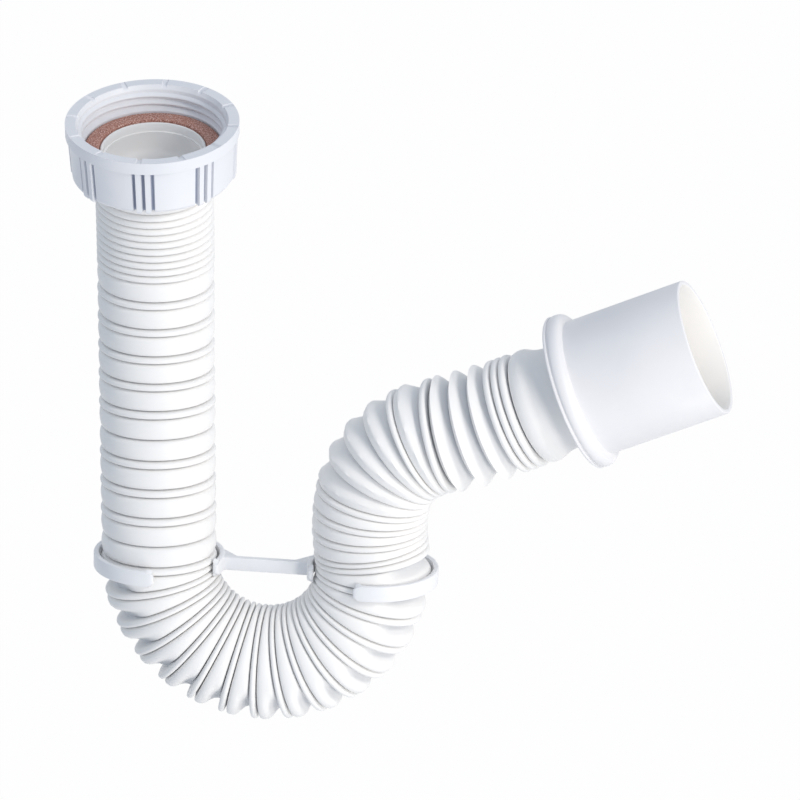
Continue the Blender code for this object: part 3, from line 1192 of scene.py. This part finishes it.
@dataclass
class TrapClip:
    """Two open C rings joined by a bar with a web at each end."""

    course: Course
    bore_r: float = 17.7 * MM
    thickness: float = 1.6 * MM
    band: float = 4.8 * MM
    bar_thickness: float = 2.2 * MM
    bar_height: float = 4.1 * MM
    arm_deg: float = 20.0
    front_left_deg: float = 274.0
    front_right_deg: float = 101.0
    web: float = 8.5 * MM
    rounding: float = 0.45 * MM
    end_rounding: float = 2.4 * MM
    end_taper: float = 0.8
    seat_share: float = 0.6
    web_foot_share: float = 0.45
    u_bend: int = 3
    folds_back: int = 2

    def ring(self, centre: float, first: float, final: float) -> bmesh.types.BMesh:
        """One C ring with rounded ends, in the clip's own plane.

        Args:
            centre: Where its centre lies along the bar.
            first: Angle of its first end.
            final: Angle of its other end.

        Returns:
            A closed mesh.
        """
        mesh = bmesh.new()
        half = self.band / 2
        outer = self.bore_r + self.thickness
        section = ((self.bore_r, -half), (outer, -half), (outer, half), (self.bore_r, half))
        outline = closed_loop(
            mesh, [(radius * cos(first), radius * sin(first), height) for radius, height in section]
        )
        bmesh.ops.spin(
            mesh, geom=outline, cent=(0, 0, 0), axis=(0, 0, 1), angle=final - first, steps=160,
        )
        ends = [edge for edge in mesh.edges if edge.is_boundary]
        bmesh.ops.holes_fill(mesh, edges=ends)
        bmesh.ops.recalc_face_normals(mesh, faces=mesh.faces)
        for vert in mesh.verts:
            angle = atan2(vert.co.y, vert.co.x)
            away = min(abs((angle - tip + pi) % tau - pi) for tip in (first, final)) * outer
            short = max(1.0 - away / self.end_rounding, 0.0)
            vert.co.z *= (1.0 - self.end_taper * short * short) ** 0.5
        round_rims(mesh, self.rounding)
        bmesh.ops.translate(mesh, verts=mesh.verts, vec=(centre, 0, 0))
        return mesh

    def plate(self, outline: Sequence[tuple[float, float]], height: float) -> bmesh.types.BMesh:
        """A flat plate with rounded edges.

        Args:
            outline: Its corners in the clip's plane.
            height: Its height across the plane.

        Returns:
            A closed mesh centred on the plane.
        """
        mesh = bmesh.new()
        corners = [mesh.verts.new((u, v, -height / 2)) for u, v in outline]
        face = mesh.faces.new(corners)
        grown = bmesh.ops.extrude_face_region(mesh, geom=[face])
        lifted = [item for item in grown["geom"] if isinstance(item, bmesh.types.BMVert)]
        bmesh.ops.translate(mesh, verts=lifted, vec=(0, 0, height))
        bmesh.ops.recalc_face_normals(mesh, faces=mesh.faces)
        round_rims(mesh, self.rounding)
        return mesh

    def bar_outline(self, gap: float) -> list[tuple[float, float]]:
        """Outline of the bar and its two webs in the clip's plane.

        Args:
            gap: Distance between the centres of the two rings.

        Returns:
            Its corners in order.
        """
        half = self.bar_thickness / 2
        outer = self.bore_r + self.thickness
        seat = outer - self.seat_share * self.thickness
        start = seat * cos(asin(half / seat))
        web_angle = asin((half + self.web) / outer)
        web_u = seat * cos(web_angle)
        web_v = seat * sin(web_angle)
        foot = outer + self.web * self.web_foot_share
        return [
            (start, -half), (gap - start, -half), (gap - start, half), (gap - web_u, web_v),
            (gap - foot, half), (foot, half), (web_u, web_v), (start, half),
        ]

    def build(self, material: bpy.types.Material) -> bpy.types.Object:
        """Build and place the clip.

        Args:
            material: Its finish.

        Returns:
            The clip.
        """
        counts = [len(section.folds) for section in self.course.sections]
        left = self.course.folds[sum(counts[: self.u_bend])].start
        right = self.course.folds[sum(counts[: self.u_bend + 1]) - self.folds_back].start
        link = right.point - left.point
        along = link.normalized()
        rising = (right.along - left.along).normalized()
        back = rising.cross(along).normalized()
        arm = radians(self.arm_deg)
        parts = [
            self.ring(0.0, -arm, radians(self.front_left_deg)),
            self.ring(link.length, pi + arm, -radians(self.front_right_deg)),
            self.plate(self.bar_outline(link.length), self.bar_height),
        ]
        turn = to_frame(left.point, along, back, along.cross(back))
        whole = join_bodies(parts)
        bmesh.ops.transform(whole, matrix=turn, verts=whole.verts)
        bmesh.ops.recalc_face_normals(whole, faces=whole.faces)
        piece = finish_piece("trap_clip_skin", whole, material, 40.0)
        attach(piece, Body.PIPE.value)
        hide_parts("trap_clip")
        return piece


# The studio


class Lamp(NamedTuple):
    """A soft square lamp: its name, where it hangs, how far away, its side, watts and colour."""

    name: str
    towards: tuple[float, float, float]
    distance: float
    side: float
    watts: float
    colour: tuple[float, float, float]


@dataclass
class Studio:
    """Plain soft light, a pale floor and the camera."""

    target: Vector = field(default_factory=lambda: Vector((0.0706, 0.0, -0.0803)))
    azimuth_deg: float = 6.74
    elevation_deg: float = 32.51
    distance: float = 1.3546
    lens: float = 209.06
    floor_z: float = -0.85
    floor_half: float = 6.0
    floor_paint: Colour = (0.86, 0.86, 0.86, 1)
    floor_seen_white: float = 0.98
    lamps: tuple[Lamp, ...] = (
        Lamp("key_softbox", (0.62, -0.75, 0.20), 1.2, 0.24, 4.4, (1.0, 0.95, 0.89)),
        Lamp("top_softbox", (0.66, -0.42, 0.62), 1.2, 0.26, 4.4, (1.0, 0.95, 0.90)),
        Lamp("low_softbox", (0.45, -0.55, -0.70), 1.0, 0.25, 1.4, (1.0, 0.96, 0.92)),
    )
    ambient: Colour = (0.53, 0.585, 0.665, 1)

    def camera(self) -> None:
        """Set the camera at the photograph's viewing angle."""
        azimuth, elevation = radians(self.azimuth_deg), radians(self.elevation_deg)
        back = Vector((
            sin(azimuth) * cos(elevation), -cos(azimuth) * cos(elevation), sin(elevation),
        ))
        data = bpy.data.cameras.new("photo_camera")
        data.lens = self.lens
        data.sensor_width = 36.0
        data.clip_start = 0.05
        data.clip_end = 50.0
        camera = bpy.data.objects.new("photo_camera", data)
        camera.matrix_world = Matrix.Translation(self.target + back * self.distance) @ (
            back.to_track_quat("Z", "Y").to_matrix().to_4x4()
        )
        bpy.context.scene.collection.objects.link(camera)
        bpy.context.scene.camera = camera

    def hang(self, lamp: Lamp) -> None:
        """Hang a lamp that faces the object.

        Args:
            lamp: The lamp.
        """
        data = bpy.data.lights.new(lamp.name, "AREA")
        data.shape = "SQUARE"
        data.size = lamp.side
        data.energy = lamp.watts
        data.color = lamp.colour
        out = Vector(lamp.towards).normalized()
        made = bpy.data.objects.new(lamp.name, data)
        made.matrix_world = Matrix.Translation(self.target + out * lamp.distance) @ (
            out.to_track_quat("Z", "Y").to_matrix().to_4x4()
        )
        bpy.context.scene.collection.objects.link(made)

    def seen_white(self, sheet: NodeSheet, most: float) -> bpy.types.NodeSocket:
        """Share of white that the camera, gloss and glass see instead of the lit colour.

        Args:
            sheet: The sheet to place nodes on.
            most: The share that they see.

        Returns:
            The share's socket, which is 0 for all other light.
        """
        path = sheet.add("LightPath").outputs
        seen = sheet.sum("MAXIMUM", path["Is Camera Ray"], path["Is Glossy Ray"])
        seen = sheet.sum("MAXIMUM", seen, path["Is Transmission Ray"])
        return sheet.sum("MULTIPLY", seen, most)

    def world(self) -> None:
        """Soft cool light from all round, seen as white."""
        world = bpy.data.worlds.new("studio_world")
        world.use_nodes = True
        sheet = NodeSheet(world.node_tree)
        world.node_tree.nodes.clear()
        lit = sheet.add("Background", Color=self.ambient, Strength=1.0)
        white = sheet.add("Background", Color=(1, 1, 1, 1), Strength=1.0)
        mixed = sheet.add("MixShader")
        sheet.feed(mixed.inputs[0], self.seen_white(sheet, 1.0))
        sheet.feed(mixed.inputs[1], lit.outputs[0])
        sheet.feed(mixed.inputs[2], white.outputs[0])
        sheet.feed(sheet.add("OutputWorld").inputs["Surface"], mixed.outputs[0])
        bpy.context.scene.world = world

    def floor(self) -> None:
        """Pale floor well below the hanging pipe, which keeps a faint shadow."""
        mesh = bmesh.new()
        bmesh.ops.create_grid(mesh, x_segments=1, y_segments=1, size=self.floor_half)
        bmesh.ops.translate(mesh, verts=mesh.verts, vec=(0, 0, self.floor_z))
        material, sheet, shader = blank_material("studio_floor_paint")
        shader.inputs["Base Color"].default_value = self.floor_paint
        shader.inputs["Roughness"].default_value = 0.9
        glow = sheet.add("Emission", Color=(1, 1, 1, 1), Strength=1.0)
        mixed = sheet.add("MixShader")
        sheet.feed(mixed.inputs[0], self.seen_white(sheet, self.floor_seen_white))
        sheet.feed(mixed.inputs[1], shader.outputs[0])
        sheet.feed(mixed.inputs[2], glow.outputs[0])
        sheet.feed(material.node_tree.nodes["Material Output"].inputs["Surface"], mixed.outputs[0])
        finish_piece("studio_floor", mesh, material)

    def build(self) -> None:
        """Set up the light, the floor and the camera."""
        bpy.context.scene.view_settings.view_transform = "Standard"
        self.world()
        self.floor()
        self.camera()
        for lamp in self.lamps:
            self.hang(lamp)
        LOG.info("studio: light, floor and camera")


# The whole part


def finishes() -> dict[str, bpy.types.Material]:
    """Make the shared node groups and every finish.

    Returns:
        The materials by the slot that they belong to.
    """
    groups = {"moulded_skin": moulded_skin(), "painted_depth_shading": painted_depth_shading()}
    # Pipe: painted shade, darker and cooler, in the valleys of the folds and in the bore
    warm = MouldedPlastic(
        "pipe_plastic_skin", (0.92, 0.905, 0.885, 1), (0.89, 0.88, 0.865, 1), 0.46,
        painted_deep_colour=(0.46, 0.49, 0.54, 1), painted_deep_strength=0.5,
    )
    # Nut: painted shade, dark blue-grey, in the grip grooves
    cool = MouldedPlastic(
        "nut_plastic_skin", (0.81, 0.815, 0.84, 1), (0.78, 0.79, 0.82, 1), 0.38,
        painted_deep_colour=(0.24, 0.28, 0.40, 1), painted_deep_strength=0.85,
    )
    # Spigot: painted light, paler and warmer, inside the bore
    spigot = MouldedPlastic(
        "spigot_plastic_skin", (0.84, 0.83, 0.835, 1), (0.81, 0.805, 0.815, 1), 0.42,
        painted_deep_colour=(0.95, 0.93, 0.90, 1), painted_deep_strength=1.0,
    )
    clip = MouldedPlastic(
        "clip_plastic_skin", (0.87, 0.87, 0.88, 1), (0.84, 0.845, 0.86, 1), 0.40,
    )
    return {
        "pipe_plastic": warm.make(groups),
        "nut_plastic": cool.make(groups),
        "spigot_plastic": spigot.make(groups),
        "clip_plastic": clip.make(groups),
        "washer_rubber": GrainyRubber().make(groups),
    }


def main() -> None:
    """Build the studio and every piece of the pipe."""
    logging.basicConfig(level=logging.INFO, format="%(name)s %(message)s")
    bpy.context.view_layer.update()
    materials = finishes()
    Studio().build()
    course = Course()
    course.lay()
    steps: tuple[tuple[str, Callable[[bpy.types.Material], object]], ...] = (
        ("pipe_plastic", BellowsPipe(course).build),
        ("nut_plastic", UnionNut().build),
        ("washer_rubber", SealingWasher().build),
        ("spigot_plastic", OutletSpigot(course).build),
        ("clip_plastic", TrapClip(course).build),
    )
    for slot, build in steps:
        build(materials[slot])
        LOG.info("%s done", slot)
    for row in frame["record"]["subparts"]:
        solid = frame["nodes"][row["node"]].data
        solid.materials.clear()
        solid.materials.append(materials[row["material_slot"]])


if __name__ == "__main__":
    main()
